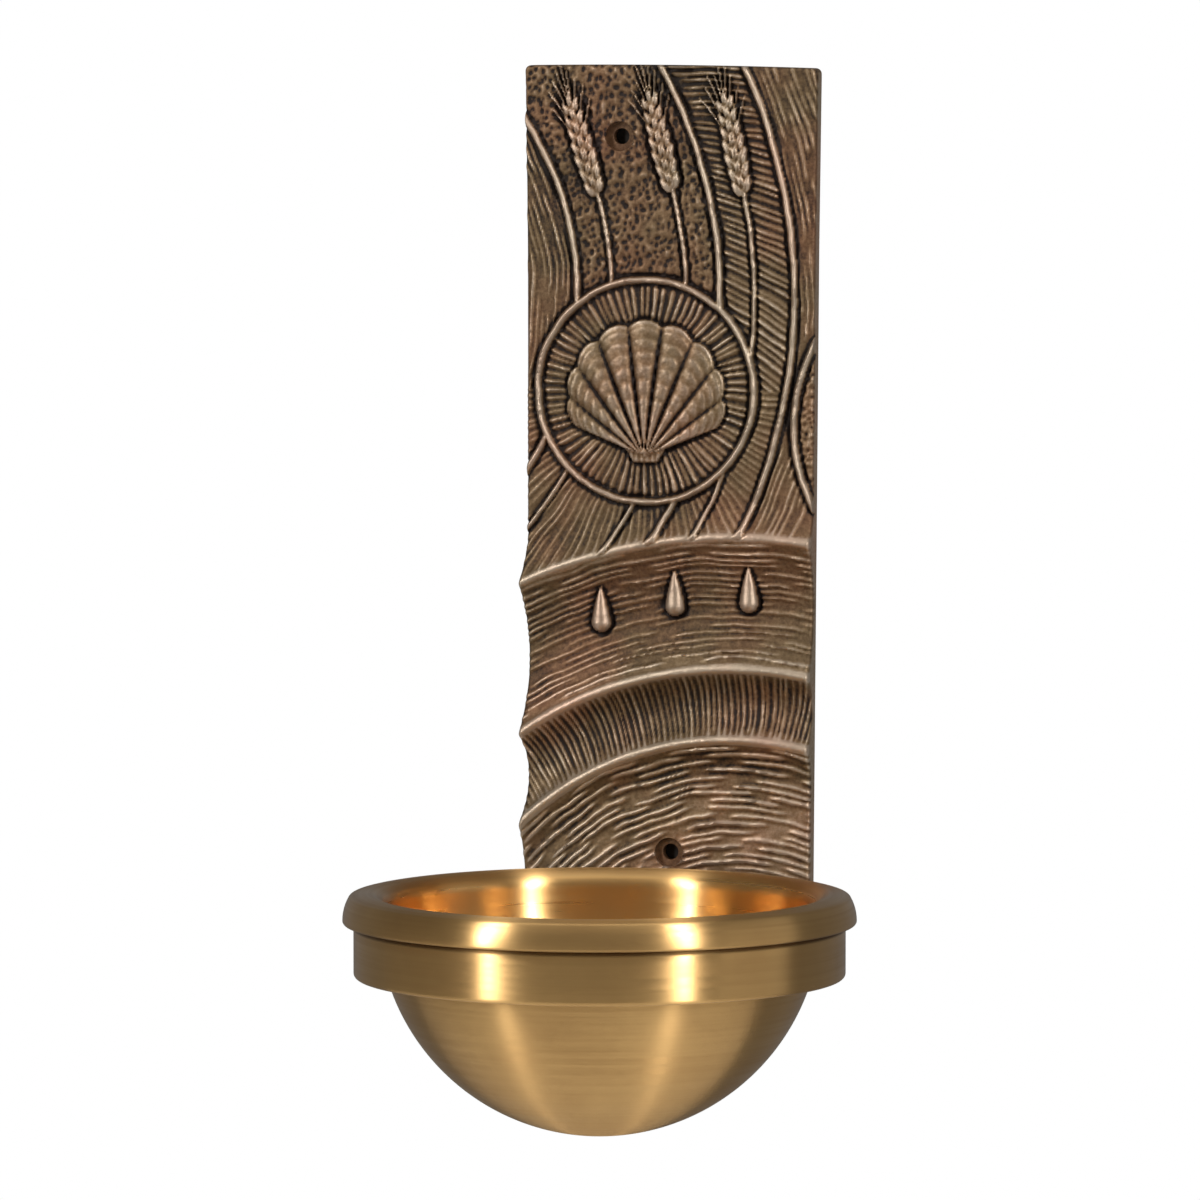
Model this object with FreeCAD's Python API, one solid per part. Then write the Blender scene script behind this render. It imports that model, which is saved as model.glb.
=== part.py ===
import FreeCAD, Part
import math
import os

# A wall-hung holy water stoup in bronze, in millimetres.
# X runs to the right across the backplate, Y runs into the wall and Z runs up. The origin is the axis of
# the lower wall-screw hole in the plane of the wall, so every piece lies at y <= 0. A "depth" is a distance
# in front of the wall.

# Bowl, turned on a lathe: a hemisphere under a heavy lip. The lip's section is a chain of arcs without a
# break: a crisp foot, a face that leans in, a tight edge, a low dome to the rim and the mouth.
lip_overhang = 3.7           # how far the lip stands out beyond the ring
lip_foot_round = 1.0
lip_face_round = 15.0
lip_face_turn = 30.0         # degrees over which the face turns inwards
lip_edge_round = 1.6
lip_edge_turn = 75.0         # degrees above the horizontal at which the edge passes into the dome
mouth_round = 6.3            # from the rim into the bowl
mouth_straight = 0.8         # upright wall below that rounding
bowl_radius = 73.6           # outside of the hemisphere
bowl_wall = 3.0

# Ring that carries the bowl by its lip
ring_wall = 7.4
ring_height = 17.9
ring_edge_round = 1.5
ring_chamfer = 0.6
bowl_clearance = 0.6         # between the hemisphere and the ring's bore
ring_drop = 13.9             # top of the ring below the lower wall-screw hole
lip_gap = 1.0                # between the back of the lip and the highest relief

# Backplate, a casting
plate_left = -50.0
plate_right_top = 51.0
plate_right_foot = 49.2
plate_top = 268.8
plate_foot = -38.0
side_flare = 0.8             # the sides stand out by this much more at the top corners
flare_height = 60.0          # over this height
top_left_fall = 0.2          # the top edge is crowned: it falls by this much to the left corner
top_right_fall = 1.0
corner_round = 2.0
face_depth = 7.0
pocket_depth = 2.0           # the back is hollowed inside a land all round
pocket_land = 7.0
boss_radius = 9.0            # land left round each wall-screw hole

# Wall-screw holes: the lower one is the origin
wall_hole = 5.5
wall_head_bore = 10.0
wall_head_depth = 3.2
upper_hole_x = -17.4
upper_hole_drop = 24.3       # below the top edge

# Ripples: round crests and troughs that spread over the foot of the plate
ripple_x = 24.0
ripple_z = -70.0
crest_depth = 12.0
crest_radii = [109.4, 133.6, 178.5]
trough_depths = [6.0, 5.0]
ripple_shore = 13.0          # width over which the outer and inner crests sink into the face
crest_half_width = 1.2
crest_crown = 0.5
scallop_flare = 2.0          # the left edge stands out at each crest
scallop_sink = 2.0           # and draws in between crests

# Ridges, shell, sheaf and drops of the relief
ridge_half_width = 1.6
halo_height = 2.4
lens_height = 2.2
furrow_height = 1.9
crest_share = 0.35           # a ridge's flat crest as a share of its foot
halo_x = -8.0
halo_z = 158.0
halo_radius = 38.0
shell_ribs = 9
shell_spread = 136.0         # degrees of the fan at the hinge
shell_radius = 23.0
shell_lobe = 1.8             # how far each rib's end stands out of the rim
shell_closing = 0.8          # how fast the ribs shorten to the sides: 1 would make the rim a circle
shell_relief = 4.6
shell_rim_relief = 2.2
groove_width = 3.2           # half of the V at the rim, well above the rib's crown
groove_root_width = 0.32     # the same at the hinge
groove_floor = 0.8           # the grooves stay this far above the face
hinge_width = 17.0
hinge_height = 5.0
hinge_relief = 1.6
sheaf_x = -140.0             # the stems and furrows are arcs about this centre
sheaf_z = 190.0
furrow_radii = [108.0, 158.0, 184.0]     # long ridges about the same centre
furrow_top_angle = 45.0
furrow_lap = 8.0             # degrees by which a furrow is started inside the halo, to be trimmed there
stem_spacing = 12.0          # from a furrow to the stem beside it
stem_half_width = 1.1
stem_height = 1.3
ear_foot_angles = [17.0, 14.5, 12.0]     # degrees above the horizontal through the centre
ear_tiers = 6
tier_pitch = 5.4
tier_flare = 0.72            # where a tier is widest, as a share of its pitch
tier_neck = 0.55             # its neck as a share of that width
ear_radius = 4.4
ear_root = 1.4               # depth of the ear's axis below the face
lens_x = 104.0
lens_z = 146.0
lens_radius = 60.0
lens_start_angle = 120.0
lens_sweep = 120.0
drop_places = [-24.0, 2.0, 28.0]         # x of each drop
drop_radius = 3.6
drop_length = 13.0
drop_root = 0.5              # depth of a drop's axis below the trough

# Saddle and screws between the backplate and the ring
pad_depth = 11.0
pad_width = 52.0
pad_margin = 1.5             # pad above and below the ring
saddle_width = 44.0
saddle_fit = 0.05            # between the saddle's hollow front and the ring
screw_spacing = 28.0
screw_diameter = 6.0
screw_head_diameter = 10.0
screw_head_height = 4.0
screw_head_sink = 0.5        # the head lies this far behind the plane of the wall
screw_tip_gap = 1.2          # between the screw's tip and the ring's bore
screw_tip_chamfer = 0.6
socket_flats = 4.0
socket_depth = 2.2
thread_clearance = 0.1
pass_clearance = 0.2
washer_thickness = 1.6
washer_split = 1.0
head_bore_clearance = 0.6
embed = 1.5                  # how deep a raised form is rooted in the plate

# Sizes that follow
upper_hole_z = plate_top - upper_hole_drop
bowl_inside = bowl_radius - bowl_wall
ring_bore = bowl_radius + bowl_clearance
ring_radius = ring_bore + ring_wall
lip_radius = ring_radius + lip_overhang
rim_radius = bowl_inside + mouth_round
face_turn = math.radians(lip_face_turn)
edge_turn = math.radians(lip_edge_turn)
edge_centre_radius = lip_radius - lip_face_round + (lip_face_round - lip_edge_round) * math.cos(face_turn)
edge_centre_height = lip_foot_round + (lip_face_round - lip_edge_round) * math.sin(face_turn)
dome_round = lip_edge_round + (edge_centre_radius - rim_radius) / math.cos(edge_turn)
lip_height = edge_centre_height + dome_round - (dome_round - lip_edge_round) * math.sin(edge_turn)
bowl_rise = lip_height - mouth_round - mouth_straight
bowl_reach = crest_depth + lip_gap + lip_radius
ring_top = -ring_drop
ring_foot = ring_top - ring_height
screw_z = ring_top - ring_height / 2
screw_x = screw_spacing / 2
saddle_height = ring_height - 2 * ring_edge_round
washer_depth = screw_head_sink + screw_head_height
head_bore_depth = washer_depth + washer_thickness
stem_radii = [furrow_radii[0] + stem_spacing, furrow_radii[1] - stem_spacing, furrow_radii[1] + stem_spacing]
front_limit = max(crest_depth, pad_depth) + 10.0


def point(x, y, z):
    return FreeCAD.Vector(x, y, z)


def on_wall(x, z, depth=0.0):
    """A point in front of the wall."""
    return point(x, -depth, z)


def arc(start, middle, end):
    return Part.Arc(start, middle, end).toShape()


def face_of(edges):
    return Part.Face(Part.Wire(edges))


def rod(x, z, radius, near, far):
    """A cylinder square to the wall, from one depth to another."""
    return Part.makeCylinder(radius, far - near, on_wall(x, z, near), point(0, -1, 0))


def block(x_size, z_size, near, far, x, z):
    """A box centred on x and z, from one depth to another."""
    return Part.makeBox(x_size, far - near, z_size, on_wall(x - x_size / 2, z - z_size / 2, far))


def turned(section):
    """A solid of revolution about the bowl's upright axis."""
    solid = section.revolve(point(0, 0, 0), point(0, 0, 1), 360)
    solid.translate(point(0, -bowl_reach, ring_top))
    return solid


def on_circle(centre_z, radius, degrees, centre_radius=0.0):
    """A point of a lathe section, on a circle centred at a height and a radius from the axis."""
    angle = math.radians(degrees)
    return point(centre_radius + radius * math.cos(angle), 0, centre_z + radius * math.sin(angle))


def section_arc(centre_radius, centre_height, radius, start, end):
    """An arc of a lathe section between two directions, in degrees upwards from outwards."""
    return arc(*[on_circle(centre_height, radius, degrees, centre_radius)
                 for degrees in (start, (start + end) / 2, end)])


def rounded_corner(corner, towards_start, towards_end, radius):
    """The arc that rounds a square corner of a section."""
    start = corner + towards_start * radius
    end = corner + towards_end * radius
    centre = corner + (towards_start + towards_end) * radius
    middle = centre + (corner - centre).normalize() * radius
    return arc(start, middle, end), start, end


# Bowl

def make_bowl():
    """Lathe section from the outer pole over the lip to the inner pole, spun about the axis."""
    neck_angle = -math.degrees(math.asin(bowl_rise / bowl_radius))
    neck = on_circle(bowl_rise, bowl_radius, neck_angle)
    pole = on_circle(bowl_rise, bowl_radius, -90)
    inner_pole = on_circle(bowl_rise, bowl_inside, -90)
    inner_side = on_circle(bowl_rise, bowl_inside, 0)

    foot_start = point(lip_radius - lip_foot_round, 0, 0)
    mouth_end = point(bowl_inside, 0, lip_height - mouth_round)
    section = [
        section_arc(0, bowl_rise, bowl_radius, -90, neck_angle),
        Part.makeLine(neck, foot_start),
        section_arc(lip_radius - lip_foot_round, lip_foot_round, lip_foot_round, -90, 0),
        section_arc(lip_radius - lip_face_round, lip_foot_round, lip_face_round, 0, lip_face_turn),
        section_arc(edge_centre_radius, edge_centre_height, lip_edge_round, lip_face_turn, lip_edge_turn),
        section_arc(rim_radius, lip_height - dome_round, dome_round, lip_edge_turn, 90),
        section_arc(rim_radius, lip_height - mouth_round, mouth_round, 90, 180),
        Part.makeLine(mouth_end, inner_side),
        section_arc(0, bowl_rise, bowl_inside, 0, -90),
        Part.makeLine(inner_pole, pole),
    ]
    return turned(face_of(section))


# Ring and saddle

def make_support_ring():
    """A plain ring, rounded outside and chamfered inside, tapped at the back for the two ring screws."""
    out, up = point(1, 0, 0), point(0, 0, 1)
    lower_corner = point(ring_radius, 0, -ring_height)
    lower, lower_start, lower_end = rounded_corner(lower_corner, -out, up, ring_edge_round)
    upper_corner = point(ring_radius, 0, 0)
    upper, upper_start, upper_end = rounded_corner(upper_corner, -up, -out, ring_edge_round)
    chamfered_bore = Part.makePolygon([
        upper_end,
        point(ring_bore + ring_chamfer, 0, 0),
        point(ring_bore, 0, -ring_chamfer),
        point(ring_bore, 0, ring_chamfer - ring_height),
        point(ring_bore + ring_chamfer, 0, -ring_height),
        lower_start,
    ])
    outside = [lower, Part.makeLine(lower_end, upper_start), upper]
    ring = turned(face_of(outside + chamfered_bore.Edges))
    for side in (-1, 1):
        tapped_hole = rod(side * screw_x, screw_z, screw_diameter / 2 + thread_clearance, 0, bowl_reach / 2)
        ring = ring.cut(tapped_hole)
    return ring


def make_ring_saddle():
    """Spacer with a flat back on the plate's pad and a hollow front that follows the ring."""
    saddle = block(saddle_width, saddle_height, pad_depth, bowl_reach, 0, screw_z)
    hollow_foot = on_wall(0, ring_foot, bowl_reach)
    saddle = saddle.cut(Part.makeCylinder(ring_radius + saddle_fit, ring_height, hollow_foot))
    front = bowl_reach - math.sqrt(ring_radius ** 2 - (saddle_width / 2) ** 2)
    saddle = saddle.common(block(saddle_width, saddle_height, pad_depth, front, 0, screw_z))
    for side in (-1, 1):
        saddle = saddle.cut(rod(side * screw_x, screw_z, screw_diameter / 2 + pass_clearance, 0, bowl_reach))
    return saddle


# Screws and washers

def make_ring_screw(x):
    """Cap screw with a hexagon socket, put in from behind; its tip ends short of the ring's bore."""
    bore_depth = bowl_reach - math.sqrt(ring_bore ** 2 - screw_x ** 2)
    tip_depth = bore_depth - screw_tip_gap
    shank = rod(x, screw_z, screw_diameter / 2, screw_head_sink, tip_depth - screw_tip_chamfer)
    tip = Part.makeCone(screw_diameter / 2, screw_diameter / 2 - screw_tip_chamfer, screw_tip_chamfer,
                        on_wall(x, screw_z, tip_depth - screw_tip_chamfer), point(0, -1, 0))
    head = rod(x, screw_z, screw_head_diameter / 2, screw_head_sink, washer_depth)
    socket_radius = socket_flats / math.sqrt(3)
    hexagon = []
    for index in range(7):
        angle = math.radians(60 * index)
        across, rise = socket_radius * math.cos(angle), socket_radius * math.sin(angle)
        hexagon.append(on_wall(x + across, screw_z + rise, screw_head_sink))
    socket = Part.Face(Part.makePolygon(hexagon)).extrude(point(0, -socket_depth, 0))
    return head.fuse([shank, tip]).cut(socket).removeSplitter()


def make_lock_washer(x):
    """Split spring washer under the screw's head."""
    washer = rod(x, screw_z, screw_head_diameter / 2, washer_depth, head_bore_depth)
    washer = washer.cut(rod(x, screw_z, screw_diameter / 2 + thread_clearance, washer_depth, head_bore_depth))
    split = block(washer_split, screw_head_diameter, washer_depth, head_bore_depth,
                  x, screw_z + screw_head_diameter / 2)
    return washer.cut(split)


# Backplate

def crest_height_at_left(radius):
    """Height at which a ripple's crest leaves the plate on the left."""
    across = plate_left - scallop_flare - ripple_x
    return ripple_z + math.sqrt(radius ** 2 - across ** 2)


def top_corners():
    """The left and the right corner of the top edge, before they are rounded."""
    return [on_wall(plate_left - side_flare, plate_top - top_left_fall),
            on_wall(plate_right_top + side_flare, plate_top - top_right_fall)]


def make_outline():
    """The plate's outline: crowned top, sides flared to it, left edge flared to the crests and scalloped."""
    foot_left = on_wall(plate_left, plate_foot)
    foot_right = on_wall(plate_right_foot, plate_foot)
    waist_right = on_wall(plate_right_top, plate_top - flare_height)
    waist_left = on_wall(plate_left, plate_top - flare_height)
    top_left, top_right = top_corners()
    crests = [on_wall(plate_left - scallop_flare, crest_height_at_left(radius))
              for radius in sorted(crest_radii, reverse=True)]
    edges = [Part.makeLine(foot_left, foot_right), Part.makeLine(foot_right, waist_right)]
    edges.append(Part.makeLine(waist_right, top_right))
    edges.append(arc(top_right, on_wall(0, plate_top), top_left))
    shoulder = on_wall(plate_left, crest_height_at_left(max(crest_radii) + ripple_shore))
    edges.append(Part.makeLine(top_left, waist_left))
    edges.append(Part.makeLine(waist_left, shoulder))
    edges.append(Part.makeLine(shoulder, crests[0]))
    for upper, lower in zip(crests, crests[1:]):
        middle = (upper + lower) * 0.5 + point(scallop_sink, 0, 0)
        edges.append(arc(upper, middle, lower))
    edges.append(Part.makeLine(crests[-1], foot_left))
    return face_of(edges)


def make_blank(outline):
    """The plate's outline as a thick block with rounded corners."""
    blank = outline.extrude(point(0, -front_limit, 0))
    corner_places = [on_wall(plate_left, plate_foot), on_wall(plate_right_foot, plate_foot)]
    corner_places.extend(top_corners())
    corners = []
    for edge in blank.Edges:
        middle = edge.CenterOfMass
        upright = edge.BoundBox.YLength > front_limit / 2
        at_corner = any(math.hypot(middle.x - place.x, middle.z - place.z) < 0.01 for place in corner_places)
        if upright and at_corner:
            corners.append(edge)
    return blank.makeFillet(corner_round, corners)


def make_front_cutter():
    """All that is carved away in front of the face and the ripples, as one lathe section."""
    def at(radius, depth):
        return point(ripple_x + radius, -depth, ripple_z)

    shoulder = crest_depth - crest_crown
    radii = sorted(crest_radii)
    edges = []
    shore = at(radii[0] - crest_half_width - ripple_shore, face_depth)
    edges.append(Part.makeLine(at(0, face_depth), shore))
    slope = at(radii[0] - crest_half_width - ripple_shore / 3, (face_depth * 2 + shoulder) / 3)
    edges.append(arc(shore, slope, at(radii[0] - crest_half_width, shoulder)))
    for index, radius in enumerate(radii):
        crest_end = at(radius + crest_half_width, shoulder)
        edges.append(arc(at(radius - crest_half_width, shoulder), at(radius, crest_depth), crest_end))
        if index + 1 < len(radii):
            next_start = radii[index + 1] - crest_half_width
            trough = at((radius + crest_half_width + next_start) / 2, trough_depths[index])
            edges.append(arc(crest_end, trough, at(next_start, shoulder)))
    outer_shore = radii[-1] + crest_half_width + ripple_shore
    slope = at(radii[-1] + crest_half_width + ripple_shore / 3, (face_depth * 2 + shoulder) / 3)
    edges.append(arc(at(radii[-1] + crest_half_width, shoulder), slope, at(outer_shore, face_depth)))
    reach = 3 * (plate_top - plate_foot)
    edges.append(Part.makeLine(at(outer_shore, face_depth), at(reach, face_depth)))
    edges.append(Part.makeLine(at(reach, face_depth), at(reach, front_limit + 1)))
    edges.append(Part.makeLine(at(reach, front_limit + 1), at(0, front_limit + 1)))
    edges.append(Part.makeLine(at(0, front_limit + 1), at(0, face_depth)))
    return face_of(edges).revolve(on_wall(ripple_x, ripple_z), point(0, 1, 0), 360)


def make_ridge(x, z, radius, half_width, height, start=0.0, sweep=360.0):
    """A ridge on the face along an arc, with sloping sides; angles in degrees, upwards from the right."""
    crest = half_width * crest_share
    profile = [(-half_width, -embed), (half_width, -embed), (half_width, 0), (crest, height),
               (-crest, height), (-half_width, 0)]
    corners = [on_wall(x + radius + across, z, face_depth + rise) for across, rise in profile]
    section = Part.Face(Part.makePolygon(corners + corners[:1]))
    ridge = section.revolve(on_wall(x, z), point(0, -1, 0), sweep)
    ridge.rotate(on_wall(x, z), point(0, -1, 0), start)
    return ridge


def halo_meeting_angle(radius):
    """Angle at which an arc about the sheaf's centre reaches the halo from above."""
    across, rise = halo_x - sheaf_x, halo_z - sheaf_z
    distance = math.hypot(across, rise)
    opening = (radius ** 2 + distance ** 2 - halo_radius ** 2) / (2 * radius * distance)
    return math.degrees(math.atan2(rise, across) + math.acos(min(1.0, opening)))


def make_groove(start, end):
    """A V-shaped cut that widens from one point of the wall plane to another."""
    along = (end - start).normalize()
    across = point(along.z, 0, -along.x)
    floor = on_wall(0, 0, face_depth + groove_floor)
    top = on_wall(0, 0, face_depth + 2 * shell_relief)
    wires = []
    for place, half_width in ((start, groove_root_width), (end, groove_width)):
        corners = [place + floor, place + top - across * half_width, place + top + across * half_width]
        wires.append(Part.makePolygon(corners + corners[:1]))
    return Part.makeLoft(wires, True, True)


def make_shell():
    """Scallop: a low dome cut to a fan with a lobed rim, and grooved from the hinge between its ribs."""
    foot_z = halo_z - shell_radius
    step = shell_spread / shell_ribs

    def rim(degrees, beyond=0.0):
        """A point of the rim's circle-like curve, by its direction from the hinge."""
        angle = math.radians(degrees)
        length = 2 * shell_radius * math.cos(shell_closing * angle) + beyond
        return on_wall(halo_x + length * math.sin(angle), foot_z + length * math.cos(angle))

    hinge = on_wall(halo_x, foot_z)
    edges = [Part.makeLine(hinge, rim(-shell_spread / 2))]
    for index in range(shell_ribs):
        start = index * step - shell_spread / 2
        edges.append(arc(rim(start), rim(start + step / 2, shell_lobe), rim(start + step)))
    edges.append(Part.makeLine(rim(shell_spread / 2), hinge))
    fan = face_of(edges)
    fan.translate(on_wall(0, 0, face_depth - embed))
    fan = fan.extrude(on_wall(0, 0, embed + shell_relief))

    drop = shell_relief - shell_rim_relief
    dome_radius = (shell_radius ** 2 + drop ** 2) / (2 * drop)
    dome_depth = face_depth + shell_relief - dome_radius
    dome = Part.makeSphere(dome_radius, on_wall(halo_x, halo_z, dome_depth))
    shell = fan.common(dome)
    grooves = []
    for index in range(1, shell_ribs):
        direction = index * step - shell_spread / 2
        grooves.append(make_groove(hinge, rim(direction, shell_lobe)))
    shell = shell.cut(grooves)

    half_wide, half_narrow = hinge_width / 2, hinge_width / 4
    ears = [
        on_wall(halo_x - half_wide, foot_z + hinge_height, face_depth - embed),
        on_wall(halo_x - half_narrow, foot_z - hinge_height / 3, face_depth - embed),
        on_wall(halo_x + half_narrow, foot_z - hinge_height / 3, face_depth - embed),
        on_wall(halo_x + half_wide, foot_z + hinge_height, face_depth - embed),
    ]
    hinge_plate = Part.Face(Part.makePolygon(ears + ears[:1])).extrude(on_wall(0, 0, embed + hinge_relief))
    return shell.fuse(hinge_plate)


def make_ear(radius, foot_angle):
    """An ear of wheat in line with the end of its stem: tiers of grains, each flared over the next."""
    profile = [point(0, 0, 0)]
    for tier in range(ear_tiers):
        foot = tier * tier_pitch
        spread = ear_radius * math.sin(math.pi * (tier + 1.2) / (ear_tiers + 1))
        profile.append(point(spread * tier_neck, 0, foot))
        profile.append(point(spread, 0, foot + tier_pitch * tier_flare))
    profile.append(point(0, 0, (ear_tiers + 1) * tier_pitch))
    ear = Part.Face(Part.makePolygon(profile + profile[:1])).revolve(point(0, 0, 0), point(0, 0, 1), 360)
    angle = math.radians(foot_angle)
    ear.rotate(point(0, 0, 0), point(0, 1, 0), -foot_angle)
    ear.translate(on_wall(sheaf_x + radius * math.cos(angle), sheaf_z + radius * math.sin(angle),
                          face_depth - ear_root))
    return ear


def make_drop(x):
    """A falling drop in the widest trough: round below, drawn out to a point above."""
    radii = sorted(crest_radii)
    radius = (radii[-1] + radii[-2]) / 2
    z = ripple_z + math.sqrt(radius ** 2 - (x - ripple_x) ** 2)
    tangent = math.asin(drop_radius / drop_length)
    foot, top = point(0, 0, -drop_radius), point(0, 0, drop_length)
    shoulder = point(drop_radius * math.cos(tangent), 0, drop_radius * math.sin(tangent))
    section = [arc(foot, point(drop_radius, 0, 0), shoulder), Part.makeLine(shoulder, top),
               Part.makeLine(top, foot)]
    drop = face_of(section).revolve(foot, point(0, 0, 1), 360)
    drop.translate(on_wall(x, z, trough_depths[-1] - drop_root))
    return drop


def make_relief():
    """Raised forms of the face. Ridges of one height never cross each other."""
    taken = [rod(halo_x, halo_z, halo_radius, 0, front_limit)]
    taken.append(rod(ripple_x, ripple_z, max(crest_radii), 0, front_limit))
    halo = make_ridge(halo_x, halo_z, halo_radius, ridge_half_width, halo_height)
    lens = make_ridge(lens_x, lens_z, lens_radius, ridge_half_width, lens_height,
                      lens_start_angle, lens_sweep)
    forms = [halo, lens.cut(taken), make_shell()]
    for radius in furrow_radii:
        start = halo_meeting_angle(radius) - furrow_lap
        furrow = make_ridge(sheaf_x, sheaf_z, radius, ridge_half_width, furrow_height,
                            start, furrow_top_angle - start)
        forms.append(furrow.cut(taken))
    for radius, foot_angle in zip(stem_radii, ear_foot_angles):
        start = halo_meeting_angle(radius)
        forms.append(make_ridge(sheaf_x, sheaf_z, radius, stem_half_width, stem_height,
                                start, foot_angle - start))
        forms.append(make_ear(radius, foot_angle))
    return forms + [make_drop(x) for x in drop_places]


def make_back_pocket(outline):
    """Hollow of the casting's back, with land left round the edge, the holes and the pad."""
    inset = outline.makeOffset2D(-pocket_land)
    pocket = inset.extrude(point(0, -pocket_depth, 0))
    bosses = [rod(0, 0, boss_radius, 0, pocket_depth)]
    bosses.append(rod(upper_hole_x, upper_hole_z, boss_radius, 0, pocket_depth))
    pad_height = ring_height + 2 * pad_margin
    bosses.append(block(pad_width, pad_height, 0, pocket_depth, 0, screw_z))
    return pocket.cut(bosses)


def make_backplate():
    """Cast plate: carved front, relief, pad for the saddle, holes, and a hollow back."""
    outline = make_outline()
    slab_width = 2 * (plate_right_top - plate_left + side_flare)
    slab_height = 2 * (plate_top - plate_foot)
    slab = block(slab_width, slab_height, 0, front_limit, 0, (plate_top + plate_foot) / 2)
    plate = slab.cut(make_front_cutter())
    for form in make_relief():
        plate = plate.fuse(form)
    plate = plate.common(make_blank(outline))
    pad_height = ring_height + 2 * pad_margin
    plate = plate.fuse(block(pad_width, pad_height, 0, pad_depth, 0, screw_z))
    cuts = [make_back_pocket(outline)]
    for x, z in ((0, 0), (upper_hole_x, upper_hole_z)):
        cuts.append(rod(x, z, wall_hole / 2, 0, front_limit))
        cuts.append(rod(x, z, wall_head_bore / 2, face_depth - wall_head_depth, front_limit))
    for side in (-1, 1):
        x = side * screw_x
        cuts.append(rod(x, screw_z, screw_diameter / 2 + pass_clearance, 0, front_limit))
        cuts.append(rod(x, screw_z, screw_head_diameter / 2 + head_bore_clearance, 0, head_bore_depth))
    return plate.cut(cuts).removeSplitter()


def save(name, shape):
    shape.exportStep(os.path.join("parts", name + ".step"))


os.makedirs("parts", exist_ok=True)
save("backplate", make_backplate())
save("bowl", make_bowl())
save("support_ring", make_support_ring())
save("ring_saddle", make_ring_saddle())
for name, side in (("left", -1), ("right", 1)):
    save("ring_screw_" + name, make_ring_screw(side * screw_x))
    save("lock_washer_" + name, make_lock_washer(side * screw_x))
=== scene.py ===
import math
import bmesh
import bpy
import numpy as np
from mathutils import Matrix, Vector


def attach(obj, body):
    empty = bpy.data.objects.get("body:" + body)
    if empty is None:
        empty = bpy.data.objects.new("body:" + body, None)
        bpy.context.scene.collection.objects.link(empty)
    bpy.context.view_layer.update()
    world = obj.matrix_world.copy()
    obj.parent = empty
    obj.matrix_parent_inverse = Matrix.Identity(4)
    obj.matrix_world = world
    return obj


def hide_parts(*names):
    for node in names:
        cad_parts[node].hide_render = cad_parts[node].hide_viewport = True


# The looks of a wall-hung holy water stoup: a dark patinated cast plate in relief, a satin turned bowl and
# its ring. The object's sizes are in millimetres and the studio's in metres. The origin is the lower
# wall-screw hole on the plane of the wall, as in the solids.
MM = 0.001
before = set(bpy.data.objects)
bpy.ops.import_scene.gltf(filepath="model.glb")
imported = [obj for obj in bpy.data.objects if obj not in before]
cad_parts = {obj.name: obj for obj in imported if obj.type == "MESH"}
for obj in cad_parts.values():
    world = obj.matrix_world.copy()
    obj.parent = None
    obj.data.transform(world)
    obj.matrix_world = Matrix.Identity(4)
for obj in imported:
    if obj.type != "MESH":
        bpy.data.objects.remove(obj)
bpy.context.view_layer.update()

# ---------------------------------------------------------------- sizes, in millimetres
PLATE_LEFT, PLATE_RIGHT_TOP, PLATE_RIGHT_FOOT = -50.0, 51.0, 49.2
PLATE_TOP, PLATE_FOOT, TOP_LEFT_FALL, TOP_RIGHT_FALL = 268.75, -38.0, 0.2, 1.0
SIDE_FLARE, FLARE_HEIGHT = 0.77, 60.0
CORNER_ROUND, FACE_DEPTH, EDGE_ROUND = 2.0, 7.0, 1.1
GRID_STEP = 0.55                              # of the relief's grid
POCKET_LAND, POCKET_DEPTH, BOSS_RADIUS = 7.0, 2.0, 9.0

# The two wall-screw holes as (x, z); the lower one is the origin
WALL_HOLES = [(0.0, 0.0), (-17.4, 244.5)]
HOLE_RADIUS, HEAD_RADIUS, HEAD_FLOOR = 2.75, 5.0, 3.8

# Round ripples about a centre: crests with troughs between them, the left edge that follows them, and the
# drops over the widest trough
RIPPLE = (24.0, -70.0)
CREST_RADII, TROUGH_DEPTHS, CREST_DEPTH = [109.4, 133.6, 178.5], [6.0, 5.0], 12.0
CREST_HALF_WIDTH, CREST_CROWN, SHORE = 1.2, 0.5, 13.0
SCALLOP_FLARE, SCALLOP_SINK = 1.98, 2.0
DROPS_X, DROP_RADIUS, DROP_LENGTH = [-24.0, 2.0, 28.0], 3.6, 13.0

# The ringed field with its shell
HALO, HALO_RADIUS = (-8.0, 158.0), 38.0
SHELL_RIBS, SHELL_SPREAD, SHELL_RADIUS, SHELL_LOBE, SHELL_CLOSING = 9, 136.0, 23.0, 1.8, 0.8
SHELL_RELIEF, SHELL_RIM_RELIEF = 4.6, 2.2
GROWTH_LINES = (0.42, 0.55, 0.66, 0.76, 0.85, 0.93)     # as shares of a rib's length
HINGE_HALF_WIDTH, HINGE_HEIGHT, HINGE_FOOT, HINGE_RELIEF = 8.5, 5.0, 1.7, 1.6

# The sheaf: furrows and stems are arcs about one far centre, and the lens is a round field that the right
# edge cuts
SHEAF = (-140.0, 190.0)
STEM_RADII, FURROW_RADII, EAR_ANGLES = [120.0, 146.0, 170.0], [108.0, 158.0, 184.0], [17.0, 14.5, 12.0]
EAR_TIERS, EAR_FOOT, TIER_PITCH, AWNS, AWN_SPREAD = 7, 2.6, 4.7, 9, 0.085
SIDE_GRAIN, MIDDLE_GRAIN = (3.9, 1.75, 2.5), (3.5, 1.5, 3.0)      # half length, half width and height
LENS, LENS_RADIUS = (104.0, 146.0), 60.0

# Burnished ridges: half their width, and their height
HALO_RIDGE, LENS_RIDGE, FURROW_RIDGE, STEM_RIDGE = (1.7, 2.4), (1.6, 2.2), (1.6, 1.9), (1.15, 1.3)

# Hand-cut lines: half their width, and how far their ground lies below the face, as a share of their height
LINE_WIDTH, LINE_GROUND = 0.52, 0.45

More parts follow.
